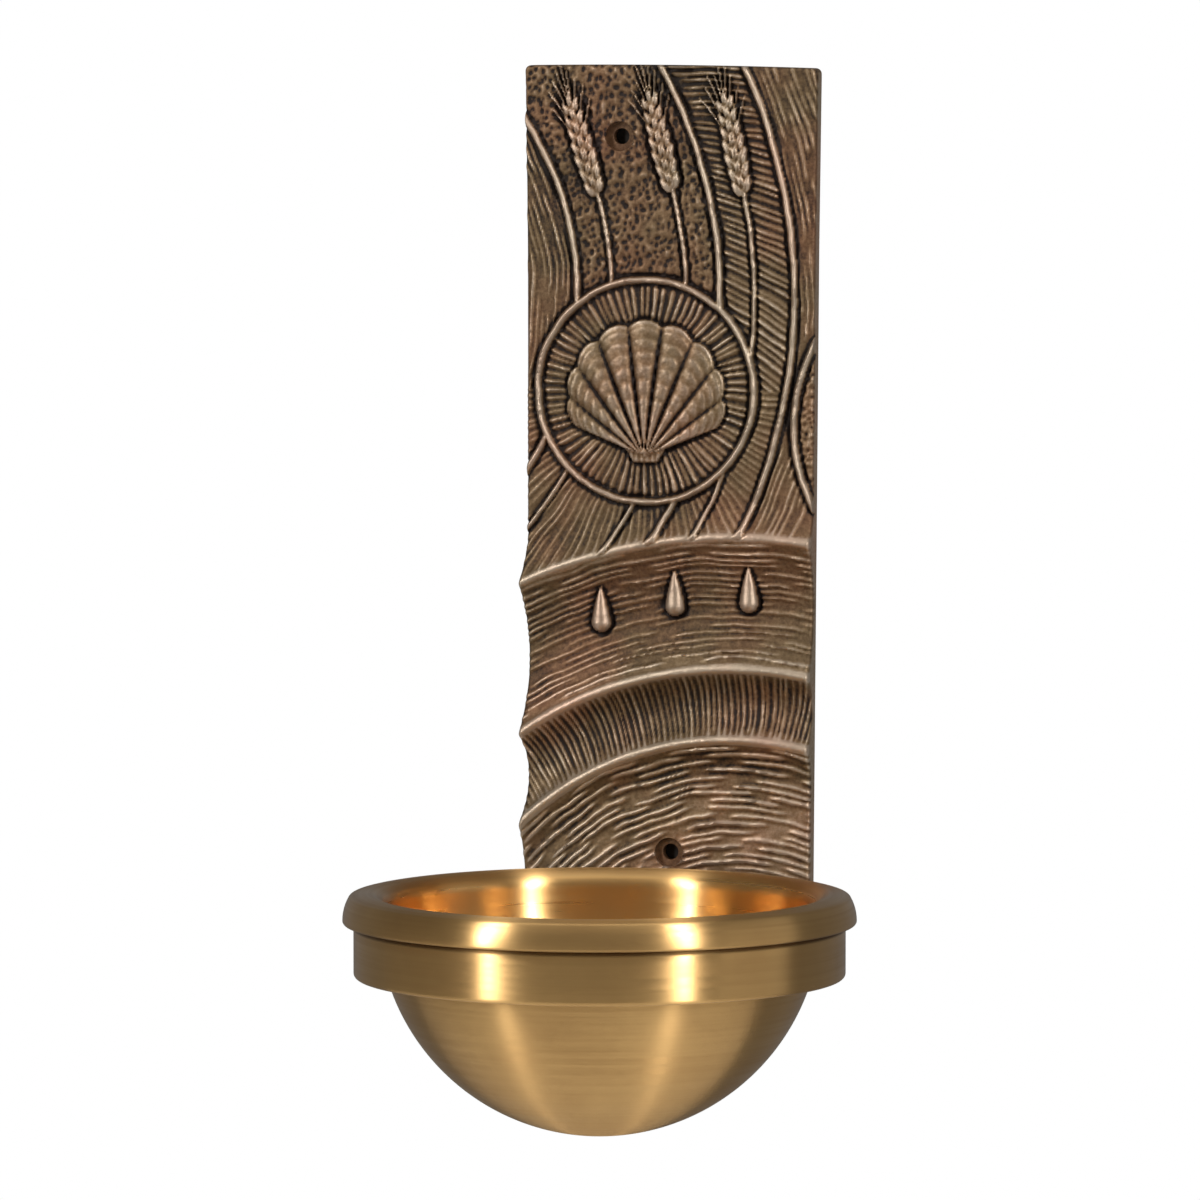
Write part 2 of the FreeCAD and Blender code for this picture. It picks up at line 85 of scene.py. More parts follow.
# Pad, screws, ring and bowl
SCREW_X, SCREW_Z, PAD_WIDTH, PAD_HEIGHT, PAD_DEPTH = 14.0, -22.85, 52.0, 20.9, 11.0
BOWL_AXIS_Y, RING_TOP, RING_HEIGHT, BOWL_CENTRE_Z = -98.3, -13.9, 17.9, -11.1
LATHE_SIDES = 320                             # faces round the bowl and the ring
OUTWARDS = (0, -1, 0)                         # from the wall into the room

# Tables of random numbers, with sides that share no factor, and shifts that keep their indices positive
LATTICE, LATTICE_SHIFT = (97, 89), (1000.37, 1000.61)
LINE_TABLE = 512
DIMPLE_TABLE, DIMPLE_SHIFT = (61, 67), 500


# ---------------------------------------------------------------- small helpers
def smooth(t):
    """An eased step from 0 to 1."""
    t = np.clip(t, 0.0, 1.0)
    return t * t * (3 - 2 * t)


def radius_from(x, z, centre):
    """How far each point is from a centre."""
    return np.hypot(x - centre[0], z - centre[1])


def angle_from(x, z, centre):
    """The angle of each point about a centre, in radians from the right."""
    return np.arctan2(z - centre[1], x - centre[0])


def noise(x, z, scale, seed):
    """Smooth value noise from -1 to 1 over the face, with features of the given size."""
    lattice = np.random.default_rng(seed).random(LATTICE) * 2 - 1
    wide, high = LATTICE
    u, v = x / scale + LATTICE_SHIFT[0], z / scale + LATTICE_SHIFT[1]
    i, j = np.floor(u).astype(int), np.floor(v).astype(int)
    fu, fv = smooth(u - i), smooth(v - j)
    a, b = lattice[i % wide, j % high], lattice[(i + 1) % wide, j % high]
    c, d = lattice[i % wide, (j + 1) % high], lattice[(i + 1) % wide, (j + 1) % high]
    return (a * (1 - fu) + b * fu) * (1 - fv) + (c * (1 - fu) + d * fu) * fv


def blurred(field, reach):
    """Gaussian blur of a field on the relief's grid, with the reach in millimetres."""
    half = max(1, int(3 * reach / GRID_STEP))
    weights = np.exp(-0.5 * (np.arange(-half, half + 1) * GRID_STEP / reach) ** 2)
    weights /= weights.sum()
    out = field
    for axis in (0, 1):
        padded = np.pad(out, [(half, half) if a == axis else (0, 0) for a in (0, 1)], mode="edge")
        total = np.zeros_like(out)
        for k, w in enumerate(weights):
            piece = [slice(None), slice(None)]
            piece[axis] = slice(k, k + out.shape[axis])
            total += w * padded[tuple(piece)]
        out = total
    return out


def three_point_arc(r, a, b, c):
    """Depth at radius r on the circle through three points (radius, depth)."""
    (ax, ay), (bx, by), (cx, cy) = a, b, c
    d = 2 * (ax * (by - cy) + bx * (cy - ay) + cx * (ay - by))
    ux = ((ax**2 + ay**2) * (by - cy) + (bx**2 + by**2) * (cy - ay) + (cx**2 + cy**2) * (ay - by)) / d
    uy = ((ax**2 + ay**2) * (cx - bx) + (bx**2 + by**2) * (ax - cx) + (cx**2 + cy**2) * (bx - ax)) / d
    radius = math.hypot(ax - ux, ay - uy)
    side = 1.0 if by > uy else -1.0
    return uy + side * np.sqrt(np.maximum(radius**2 - (r - ux) ** 2, 0))


# ---------------------------------------------------------------- backplate: outline
def crest_height_at_left(radius):
    """Where a crest of this radius runs out through the left edge."""
    return RIPPLE[1] + math.sqrt(radius**2 - (PLATE_LEFT - SCALLOP_FLARE - RIPPLE[0]) ** 2)


def side_flare(z):
    """How much further the sides stand out towards the top corners."""
    return SIDE_FLARE * np.clip((z - PLATE_TOP + FLARE_HEIGHT) / FLARE_HEIGHT, 0, 1)


def left_edge(z):
    """The left edge: flared at the top and to the ripples' crests, and drawn in between them."""
    heights = [PLATE_FOOT] + [crest_height_at_left(r) for r in CREST_RADII + [CREST_RADII[-1] + SHORE]]
    places = [PLATE_LEFT] + [PLATE_LEFT - SCALLOP_FLARE] * len(CREST_RADII) + [PLATE_LEFT]
    x = np.interp(z, heights, places)
    for low, high in zip(heights[1:3], heights[2:4]):
        t = np.clip((z - low) / (high - low), 0, 1)
        x = x + SCALLOP_SINK * 4 * t * (1 - t)
    return x - side_flare(z)


def right_edge(z):
    """The right edge: straight to the waist, and flared above it."""
    waist = PLATE_TOP - FLARE_HEIGHT
    return np.interp(z, [PLATE_FOOT, waist], [PLATE_RIGHT_FOOT, PLATE_RIGHT_TOP]) + side_flare(z)


def top_edge(x):
    """The top edge: crowned, so it falls to both corners."""
    return three_point_arc(x, (PLATE_LEFT - SIDE_FLARE, PLATE_TOP - TOP_LEFT_FALL), (0, PLATE_TOP),
                           (PLATE_RIGHT_TOP + SIDE_FLARE, PLATE_TOP - TOP_RIGHT_FALL))


# ---------------------------------------------------------------- backplate: relief, as depth over the face
def ripple_depth(x, z):
    """Depth of the face and of the round ripples that spread over the foot of the plate."""
    r = radius_from(x, z, RIPPLE)
    depth = np.full_like(r, FACE_DEPTH)
    shoulder, w = CREST_DEPTH - CREST_CROWN, CREST_HALF_WIDTH
    slope = (FACE_DEPTH * 2 + shoulder) / 3
    first, last = CREST_RADII[0] - w, CREST_RADII[-1] + w
    spans = [((first - SHORE, FACE_DEPTH), (first - SHORE / 3, slope), (first, shoulder))]
    for index, c in enumerate(CREST_RADII):
        spans.append(((c - w, shoulder), (c, CREST_DEPTH), (c + w, shoulder)))
        if index + 1 < len(CREST_RADII):
            far = CREST_RADII[index + 1] - w
            spans.append(((c + w, shoulder), ((c + w + far) / 2, TROUGH_DEPTHS[index]), (far, shoulder)))
    spans.append(((last, shoulder), (last + SHORE / 3, slope), (last + SHORE, FACE_DEPTH)))
    for a, b, c in spans:
        inside = (r >= a[0]) & (r < c[0])
        depth[inside] = three_point_arc(r[inside], a, b, c)
    return depth


def ridge(x, z, distance, half_width, height):
    """A burnished ridge with hollow sides and a narrow, slightly hammered crest."""
    wander = 0.22 * noise(x, z, 7.0, 301) + 0.12 * noise(x, z, 2.6, 302)
    t = np.clip(1 - np.abs(distance + wander) / half_width, 0, 1)
    return height * (0.92 + 0.16 * noise(x, z, 3.3, 303)) * (0.45 * t + 0.55 * smooth(t * 1.15))


def per_line(index, seed, low, high):
    """A value of its own for each hand-cut line, by the line's number."""
    table = np.random.default_rng(seed).random(LINE_TABLE) * (high - low) + low
    return table[index.astype(int) % LINE_TABLE]


def strokes(x, z, number, along, near, far, pitch, seed, fade=3.0, thick=LINE_WIDTH):
    """Thin raised lines between hand-cut grooves, from 0 on the ground to 1 on a line. number counts the
    lines across, along runs down each line, pitch is in millimetres. Each line has its own start, end,
    height and width, and is uneven along its length."""
    k = np.round(number)
    offset = (number - k + 0.17 * per_line(k, seed + 5, -1, 1)) * pitch
    start = near + per_line(k, seed, 0, 1) * (far - near) * 0.16
    end = far - per_line(k, seed + 1, 0, 1) * (far - near) * 0.12
    taper = smooth((along - start) / fade) * smooth((end - along) / fade)
    width = thick * per_line(k, seed + 2, 0.75, 1.35) * (0.6 + 0.4 * taper)
    width = width * (1 + 0.28 * noise(x, z, 3.1, seed + 50))
    height = per_line(k, seed + 3, 0.55, 1.12) * taper * (1 + 0.30 * noise(x, z, 4.3, seed + 51))
    return height * np.exp(-((offset / width) ** 2))


def rays(x, z, centre, count, near, far, seed, split=math.inf, high=0.8, thick=LINE_WIDTH):
    """Lines that radiate from a centre; past a split a second set starts between the first."""
    r = radius_from(x, z, centre)
    turn = (angle_from(x, z, centre) / (2 * math.pi)) % 1.0
    bend = 0.30 * noise(x, z, 19.0, seed + 40) + 0.12 * noise(x, z, 6.0, seed + 41)
    number = turn * count + bend
    pitch = 2 * math.pi * np.maximum(r, 1.0) / count
    lines = strokes(x, z, number, r, near, far, pitch, seed, thick=thick)
    if split < far:
        lines = np.maximum(lines, strokes(x, z, number + 0.5, r, split, far, pitch, seed + 9, fade=7.0))
    return high * (lines - LINE_GROUND)


def along_arcs(x, z, centre, pitch, seed, high=0.8, length=34.0, thick=LINE_WIDTH):
    """Lines that follow arcs about a centre, broken into strokes of different lengths."""
    rho = radius_from(x, z, centre)
    run = angle_from(x, z, centre) * rho
    number = rho / pitch + 0.34 * noise(x, z, 15.0, seed + 40) + 0.12 * noise(x, z, 5.0, seed + 41)
    k = np.round(number)
    shifted = run + per_line(k, seed + 20, 0, length)
    cell = shifted % length
    return high * (strokes(x, z, number, cell, 0.0, length, pitch, seed, fade=5.0, thick=thick) - LINE_GROUND)


def across_arcs(x, z, centre, inner, outer, pitch, seed, high=0.8, thick=LINE_WIDTH):
    """Short lines that cross the band between two arcs, slightly slanting."""
    rho = radius_from(x, z, centre)
    middle = (inner + outer) / 2
    run = angle_from(x, z, centre) * middle + 0.55 * (rho - middle)
    number = run / pitch + 0.26 * noise(x, z, 9.0, seed + 40)
    return high * (strokes(x, z, number, rho, inner - 2, outer + 2, pitch, seed, 3.5, thick) - LINE_GROUND)


def stipple(x, z, pitch, seed, high):
    """Punched dimples of different sizes with uneven lips between them."""
    wide, high_side = DIMPLE_TABLE
    grid = np.random.default_rng(seed).random((wide, high_side, 3))
    u = (x + 0.8 * noise(x, z, 5.0, seed + 60)) / pitch + DIMPLE_SHIFT
    v = (z + 0.8 * noise(x, z, 5.0, seed + 61)) / pitch + DIMPLE_SHIFT
    i, j = np.floor(u).astype(int), np.floor(v).astype(int)
    nearest = np.full(x.shape, 9.0)
    size = np.zeros(x.shape)
    for di in (-1, 0, 1):
        for dj in (-1, 0, 1):
            cell = grid[(i + di) % wide, (j + dj) % high_side]
            away = np.hypot(i + di + cell[..., 0] - u, j + dj + cell[..., 1] - v)
            closer = away < nearest
            nearest = np.where(closer, away, nearest)
            size = np.where(closer, 0.3 + 0.9 * cell[..., 2], size)
    lips = 0.42 * high * np.maximum(noise(x, z, 1.5, seed + 62), 0) * (1 + noise(x, z, 8.0, seed + 63))
    return lips - high * size * np.exp(-((nearest / 0.40) ** 2)) - 0.1 * high


def shell_form(x, z):
    """Scallop shell: rounded ribs that fan from the hinge, growth lines, a lobed rim and the hinge."""
    hinge_z = HALO[1] - SHELL_RADIUS
    dx, dz = x - HALO[0], z - hinge_z
    length, angle = np.hypot(dx, dz), np.degrees(np.arctan2(dx, dz))
    position = (angle + SHELL_SPREAD / 2) / (SHELL_SPREAD / SHELL_RIBS)
    across = position - np.floor(position) - 0.5
    rim = 2 * SHELL_RADIUS * np.cos(np.radians(SHELL_CLOSING * angle)) + SHELL_LOBE * (1 - 4 * across**2)
    drop = SHELL_RELIEF - SHELL_RIM_RELIEF
    dome = (SHELL_RADIUS**2 + drop**2) / (2 * drop)
    away = radius_from(x, z, HALO)
    crown = np.sqrt(np.maximum(dome**2 - away**2, 0)) - dome + SHELL_RELIEF
    part = length / np.maximum(rim, 1.0)
    rib = 0.30 + 0.70 * np.sqrt(np.maximum(1 - (2 * np.abs(across)) ** 2.2, 0))
    growth = sum(0.34 * smooth((part - at) / 0.018) * smooth((at + 0.085 - part) / 0.07)
                 for at in GROWTH_LINES)
    body = (crown - growth) * rib + 0.12 * noise(x, z, 1.6, 71)
    inside = smooth((rim - length) / 0.9) * (np.abs(angle) < SHELL_SPREAD / 2) * (dz > 0)
    side = smooth((SHELL_SPREAD / 2 - np.abs(angle)) * np.radians(length) / 0.8)
    return np.maximum(body * inside * side, hinge_form(dx, dz))


def hinge_form(across, up):
    """The shell's two small ears, faintly ribbed and narrower below. Places are measured from the hinge."""
    bevel, ribbing = 0.6, 1.9
    from_foot = up + HINGE_FOOT
    narrow, rise = HINGE_HALF_WIDTH / 2, HINGE_FOOT + HINGE_HEIGHT
    half = narrow + (HINGE_HALF_WIDTH - narrow) * np.clip(from_foot / rise, 0, 1)
    inside = smooth((half - np.abs(across)) / bevel) * smooth(from_foot / bevel)
    inside = inside * smooth((HINGE_HEIGHT - up) / bevel)
    return inside * (HINGE_RELIEF - 0.25 * np.cos(across * 2 * math.pi / ribbing))


def grain(x, z, cx, cz, tilt, length, width, height):
    """One plump grain: an egg with a crease down its middle."""
    dx, dz = x - cx, z - cz
    a = dx * math.cos(tilt) - dz * math.sin(tilt)
    b = dx * math.sin(tilt) + dz * math.cos(tilt)
    squeeze = 1 - 0.30 * np.clip(b / length, -1, 1)
    inside = 1 - (a / (width * squeeze)) ** 2 - (b / length) ** 2
    crease = 1 - 0.30 * np.exp(-((a / (0.22 * width)) ** 2)) * (b > -0.8 * length)
    return height * np.sqrt(np.maximum(inside, 0)) * crease


def ear_form(x, z, radius, angle):
    """An ear of wheat: pairs of grains with a row between them, and awns that spread from the top."""
    turn = math.radians(angle)
    foot = Vector((SHEAF[0] + radius * math.cos(turn), SHEAF[1] + radius * math.sin(turn)))
    up = Vector((-math.sin(turn), math.cos(turn)))
    out = Vector((math.cos(turn), math.sin(turn)))
    form = np.zeros_like(x)
    fullest, taper = 2.2, 0.07
    pair_reach, pair_stagger, pair_tilt, middle_lift = 2.35, 0.5, 0.42, 2.3
    for tier in range(EAR_TIERS):
        reach = 1.0 - taper * abs(tier - fullest)
        at = foot + up * (EAR_FOOT + TIER_PITCH * tier)
        grains = [(at + out * side * pair_reach * reach + up * (pair_stagger * side),
                   side * pair_tilt - turn, SIDE_GRAIN) for side in (-1, 1)]
        grains.append((at + up * middle_lift, -turn, MIDDLE_GRAIN))
        for place, tilt, sizes in grains:
            length, width, height = (size * reach for size in sizes)
            form = np.maximum(form, grain(x, z, place.x, place.y, tilt, length, width, height))
    rng = np.random.default_rng(int(radius))
    middle = (AWNS - 1) // 2
    for place in range(-middle, middle + 1):
        spread = place * AWN_SPREAD + rng.uniform(-0.02, 0.02)
        start = foot + up * (20.0 + 3.2 * (middle - abs(place))) + out * 1.6 * place / middle
        way = Matrix.Rotation(-spread, 2) @ up
        form = np.maximum(form, awn_form(x, z, start, way, place, rng.uniform(15.0, 19.0)))
    return form


def awn_form(x, z, start, way, place, length):
    """One bristle: a thin line that fades to its tip and bends outwards, the more so the further it is from
    the middle one."""
    dx, dz = x - start.x, z - start.y
    along = dx * way.x + dz * way.y
    across = dx * way.y - dz * way.x - 0.0016 * along**2 * place
    thick = 0.62 * (1 - 0.45 * np.clip(along / length, 0, 1))
    return 1.05 * smooth(1 - np.abs(across) / thick) * (along > 0) * smooth((length - along) / 6)


def drop_form(x, z, cx):
    """A falling drop in the widest trough, round below and drawn out to a point above."""
    r = (CREST_RADII[-1] + CREST_RADII[-2]) / 2
    cz = RIPPLE[1] + math.sqrt(r**2 - (cx - RIPPLE[0]) ** 2)
    dx, dz = x - cx, z - cz
    upper = np.clip(1 - dz / DROP_LENGTH, 0, 1)
    half = np.where(dz < 0, np.sqrt(np.maximum(DROP_RADIUS**2 - dz**2, 0)),
                    DROP_RADIUS * upper * (1 + 0.55 * (1 - upper)))
    inside = np.maximum(half**2 - dx**2, 0) * (dz > -DROP_RADIUS) * (dz < DROP_LENGTH)
    return np.sqrt(inside) * 0.95


def line_texture(x, z):
    """The hand-cut lines and punched dimples of every field, fading out beside the crests and the halo."""
    from_ripple, from_halo = radius_from(x, z, RIPPLE), radius_from(x, z, HALO)
    from_sheaf = radius_from(x, z, SHEAF)
    inner_crest, middle_crest, outer_crest = CREST_RADII
    first, second, third = FURROW_RADII
    in_halo = from_halo < HALO_RADIUS
    above = (from_ripple > outer_crest + CREST_HALF_WIDTH) & ~in_halo
    in_lens = above & (radius_from(x, z, LENS) < LENS_RADIUS)
    swing = above & ~in_lens
    below_halo = swing & (z < HALO[1]) & (from_sheaf < third)
    beside = swing & ~below_halo
    left_band = beside & (from_sheaf < first)
    stem_band = beside & (from_sheaf >= first) & (from_sheaf < second)
    comb_band = beside & (from_sheaf >= second) & (from_sheaf < third)
    right_band = beside & (from_sheaf >= third)
    outer_wave = (from_ripple > middle_crest) & (from_ripple < outer_crest)
    inner_wave = (from_ripple > inner_crest) & (from_ripple < middle_crest)
    pool = from_ripple < inner_crest
    fields = [
        (in_halo, rays(x, z, HALO, count=78, near=15.0, far=HALO_RADIUS + 4, seed=11, high=1.2, thick=0.72)),
        (below_halo, rays(x, z, HALO, count=124, near=HALO_RADIUS - 15, far=130.0, seed=23, split=54.0,
                          high=0.62)),
        (left_band, along_arcs(x, z, SHEAF, pitch=2.05, seed=31, length=40.0)),
        (stem_band, stipple(x, z, pitch=2.1, seed=43, high=0.8)),
        (comb_band, across_arcs(x, z, SHEAF, second, third, pitch=2.7, seed=53, high=1.15, thick=0.66)),
        (right_band, along_arcs(x, z, SHEAF, pitch=2.05, seed=61, high=0.66)),
        (in_lens, stipple(x, z, pitch=1.9, seed=73, high=0.8)),
        (outer_wave, along_arcs(x, z, RIPPLE, pitch=2.25, seed=83, length=52.0)),
        (inner_wave, rays(x, z, RIPPLE, count=365, near=inner_crest - 3, far=middle_crest + 3, seed=97)),
        (pool, along_arcs(x, z, RIPPLE, pitch=2.6, seed=103, high=1.1, length=36.0, thick=0.70)),
    ]
    texture = np.zeros_like(x)
    for area, lines in fields:
        texture = np.where(area, lines, texture)
    quiet = np.ones_like(x)
    for line, half in [(from_halo - HALO_RADIUS, 1.6)] + [(from_ripple - r, 1.7) for r in CREST_RADII]:
        quiet *= smooth((np.abs(line) - half * 0.7) / 0.9)
    return texture * quiet


def raised_forms(x, z):
    """The ridges, stems, ears, shell and drops, as heights over the ground."""
    from_halo, from_sheaf = radius_from(x, z, HALO), radius_from(x, z, SHEAF)
    open_ground = (from_halo >= HALO_RADIUS) & (radius_from(x, z, RIPPLE) > CREST_RADII[-1])
    forms = [ridge(x, z, from_halo - HALO_RADIUS, *HALO_RIDGE),
             ridge(x, z, LENS_RADIUS - radius_from(x, z, LENS), *LENS_RIDGE) * open_ground]
    forms += [ridge(x, z, from_sheaf - r, *FURROW_RIDGE) * open_ground for r in FURROW_RADII]
    for r, angle in zip(STEM_RADII, EAR_ANGLES):
        below = np.degrees(angle_from(x, z, SHEAF)) < angle + 1
        forms.append(ridge(x, z, from_sheaf - r, *STEM_RIDGE) * open_ground * below)
        forms.append(ear_form(x, z, r, angle))
    forms.append(shell_form(x, z))
    forms += [drop_form(x, z, cx) for cx in DROPS_X]
    return np.max(forms, axis=0)


def relief_depth(x, z):
    """Depth of the whole front, before its outer edge is rounded. A moat sets off each raised form."""
    base = ripple_depth(x, z)
    depth = base + line_texture(x, z)
    raised = raised_forms(x, z)
    low_form = 0.25
    moat = blurred((raised > low_form).astype(float), 1.0)
    depth = depth - (0.75 + 0.35 * noise(x, z, 9.0, 204)) * smooth(moat * 2.4) * (raised < low_form)
    merge = smooth(raised / 0.5)
    depth = depth * (1 - merge) + (base + raised) * merge
    depth += 0.22 * noise(x, z, 11.0, 201) + 0.07 * noise(x, z, 2.6, 202) + 0.04 * noise(x, z, 1.2, 203)
    return np.minimum(depth, CREST_DEPTH)


# ---------------------------------------------------------------- backplate: mesh
def spaced(first, last, step, fine):
    """Places from first to last, with extra ones close to both ends."""
    count = int(round((last - first - 2 * fine[-1]) / step)) + 1
    inner = np.linspace(first + fine[-1], last - fine[-1], count)
    return np.concatenate([first + np.array(fine[:-1]), inner, last - np.array(fine[:-1])[::-1]])


def corner_inset(distance):
    """How far a rounded corner draws the edge in at a distance from the end."""
    d = np.clip(CORNER_ROUND - distance, 0, CORNER_ROUND)
    return CORNER_ROUND - np.sqrt(np.maximum(CORNER_ROUND**2 - d**2, 0))


def plate_grid():
    """The relief's grid over the whole face, finer at its edges: each point's x, z and way in from the
    nearest edge."""
    edge = [0.0, 0.09, 0.33, 0.68, EDGE_ROUND]
    nominal_width, hidden_rows = 100.0, 16
    first_seen, last_seen = -12.0, PLATE_TOP - EDGE_ROUND         # the bowl hides the rows below first_seen
    columns = spaced(0.0, nominal_width, GRID_STEP, edge) / nominal_width
    rows = np.concatenate([
        PLATE_FOOT + np.array([0.0, 0.1, 0.38, 0.8, 1.3, 1.9]),
        np.linspace(PLATE_FOOT + 2.6, first_seen - 1.2, hidden_rows),
        np.linspace(first_seen, last_seen, int((last_seen - first_seen) / GRID_STEP)),
        PLATE_TOP - np.array(edge[:-1])[::-1]])
    u, v = np.meshgrid(columns, (rows - PLATE_FOOT) / (PLATE_TOP - PLATE_FOOT))
    z = PLATE_FOOT + v * (PLATE_TOP - PLATE_FOOT)
    inset = corner_inset(np.minimum(z - PLATE_FOOT, PLATE_TOP - z))
    left, right = left_edge(z) + inset, right_edge(z) - inset
    x = left + u * (right - left)
    z = PLATE_FOOT + v * (top_edge(x) - PLATE_FOOT)
    from_edge = np.minimum(np.minimum(x - left, right - x), np.minimum(z - PLATE_FOOT, top_edge(x) - z))
    return x, z, from_edge


def make_plate_mesh():
    """The casting's front as a fine grid, closed by its sides and a flat back."""
    x, z, from_edge = plate_grid()
    grid_depth = relief_depth(x, z)
    worn = np.clip(EDGE_ROUND - from_edge, 0, EDGE_ROUND)
    depth = grid_depth - (EDGE_ROUND - np.sqrt(np.maximum(EDGE_ROUND**2 - worn**2, 0)))
    height, width = x.shape
    front = np.stack([x, -depth, z], axis=-1).reshape(-1, 3)
    index = np.arange(height * width).reshape(height, width)
    quads = np.stack([index[:-1, :-1], index[:-1, 1:], index[1:, 1:], index[1:, :-1]], axis=-1).reshape(-1, 4)
    loop = np.concatenate([index[0, :], index[1:, -1], index[-1, -2::-1], index[-2:0:-1, 0]])
    rings, points = [loop], [front]
    total = len(front)
    for level in (0.72, 0.44, 0.18, 0.0):                         # as shares of the edge's depth
        ring = front[loop].copy()
        ring[:, 1] *= level
        points.append(ring)
        rings.append(np.arange(total, total + len(loop)))
        total += len(loop)
    sides = [np.stack([a, b, np.roll(b, -1), np.roll(a, -1)], axis=-1) for a, b in zip(rings, rings[1:])]
    faces = quads.tolist() + np.concatenate(sides).tolist() + [rings[-1][::-1].tolist()]
    mesh = bpy.data.meshes.new("backplate_cast")
    mesh.from_pydata((np.concatenate(points) * MM).tolist(), [], faces)
    mesh.update()
    return mesh, x, z, grid_depth


def add_object(name, data):
    obj = bpy.data.objects.new(name, data)
    bpy.context.scene.collection.objects.link(obj)
    return obj


def closed_object(name, points, faces, merge=None):
    """An object of closed form, with its faces turned outwards and doubled points merged."""
    mesh = bpy.data.meshes.new(name)
    mesh.from_pydata(points, [], faces)
    obj = add_object(name, mesh)
    made = bmesh.new()
    made.from_mesh(mesh)
    if merge is not None:
        bmesh.ops.remove_doubles(made, verts=made.verts, dist=merge)
    bmesh.ops.recalc_face_normals(made, faces=made.faces)
    made.to_mesh(mesh)
    made.free()
    return obj


def prism(name, outline, near, far):
    """A solid with an outline on the wall plane, between two depths."""
    n = len(outline)
    points = [(x * MM, -d * MM, z * MM) for d in (near, far) for x, z in outline]
    faces = [list(range(n))[::-1], list(range(n, 2 * n))]
    faces += [(i, (i + 1) % n, n + (i + 1) % n, n + i) for i in range(n)]
    return closed_object(name, points, faces)


def round_outline(x, z, radius, count=64):
    return [(x + radius * math.cos(2 * math.pi * i / count), z + radius * math.sin(2 * math.pi * i / count))
            for i in range(count)]


def turned(name, profile, axis, count, way=(0, 0, 1)):
    """A closed lathe form with count sides. The profile is (radius, height) pairs; a radius of zero is on
    the axis."""
    points, faces, rows = [], [], []
    for radius, height in profile:
        if radius == 0:
            rows.append([len(points)] * count)
            points.append((0, 0, height))
            continue
        rows.append(list(range(len(points), len(points) + count)))
        for i in range(count):
            a = 2 * math.pi * i / count
            points.append((radius * math.cos(a), radius * math.sin(a), height))
    for low, high in zip(rows, rows[1:]):
        for i in range(count):
            j = (i + 1) % count
            corners = [low[i], low[j], high[j], high[i]]
            faces.append([c for k, c in enumerate(corners) if c != corners[k - 1]])
    spin = Vector((0, 0, 1)).rotation_difference(Vector(way)).to_matrix()
    points = [(spin @ Vector(p) + Vector(axis)) * MM for p in points]
    return closed_object(name, points, faces, merge=1e-7)


def carve(obj, tool, operation="DIFFERENCE"):
    """Cuts a tool out of a piece, or joins it on, and drops the tool."""
    step = obj.modifiers.new("cut", "BOOLEAN")
    step.operation = operation
    step.solver = "MANIFOLD"
    step.object = tool
    result = bpy.data.meshes.new_from_object(obj.evaluated_get(bpy.context.evaluated_depsgraph_get()))
    obj.modifiers.clear()
    obj.data = result
    bpy.data.objects.remove(tool)


def make_backplate():
    mesh, grid_x, grid_z, grid_depth = make_plate_mesh()
    plate = add_object("backplate_cast", mesh)
    half_pad = PAD_WIDTH / 2
    pad_low, pad_high = SCREW_Z - PAD_HEIGHT / 2, SCREW_Z + PAD_HEIGHT / 2
    pad = [(-half_pad, pad_low), (half_pad, pad_low), (half_pad, pad_high), (-half_pad, pad_high)]
    pad_root, top_fall = 3.0, 1.4
    carve(plate, prism("pad", pad, pad_root, PAD_DEPTH), "UNION")

    heights = np.linspace(PLATE_FOOT + POCKET_LAND, PLATE_TOP - POCKET_LAND - top_fall, 60)
    outline = [(float(left_edge(h)) + POCKET_LAND, h) for h in heights[::-1]]
    outline += [(float(right_edge(h)) - POCKET_LAND, h) for h in heights]
    behind, beyond = -1.0, 20.0
    pocket = prism("pocket", outline, behind, POCKET_DEPTH)
    for x, z in WALL_HOLES:
        carve(pocket, prism("boss", round_outline(x, z, BOSS_RADIUS), behind - 1, POCKET_DEPTH + 1))
    carve(pocket, prism("pad_back", pad, behind - 1, POCKET_DEPTH + 1))
    carve(plate, pocket)
    worn_mouth, wear_starts, wear_ends = 5.6, 6.75, 7.3
    for x, z in WALL_HOLES:
        profile = [(0, behind), (HOLE_RADIUS, behind), (HOLE_RADIUS, HEAD_FLOOR), (HEAD_RADIUS, HEAD_FLOOR),
                   (HEAD_RADIUS, wear_starts), (worn_mouth, wear_ends), (worn_mouth, beyond), (0, beyond)]
        carve(plate, turned("wall_hole", profile, (x, 0, z), 72, OUTWARDS))
    head_bore, head_bore_floor, shank_bore = 5.6, 6.1, 3.2
    for side in (-1, 1):
        profile = [(0, behind), (head_bore, behind), (head_bore, head_bore_floor),
                   (shank_bore, head_bore_floor), (shank_bore, beyond), (0, beyond)]
        carve(plate, turned("screw_hole", profile, (side * SCREW_X, 0, SCREW_Z), 48, OUTWARDS))
    write_rub_and_painted_light(plate, grid_x, grid_z, grid_depth)
    soften(plate, 68)
    return plate


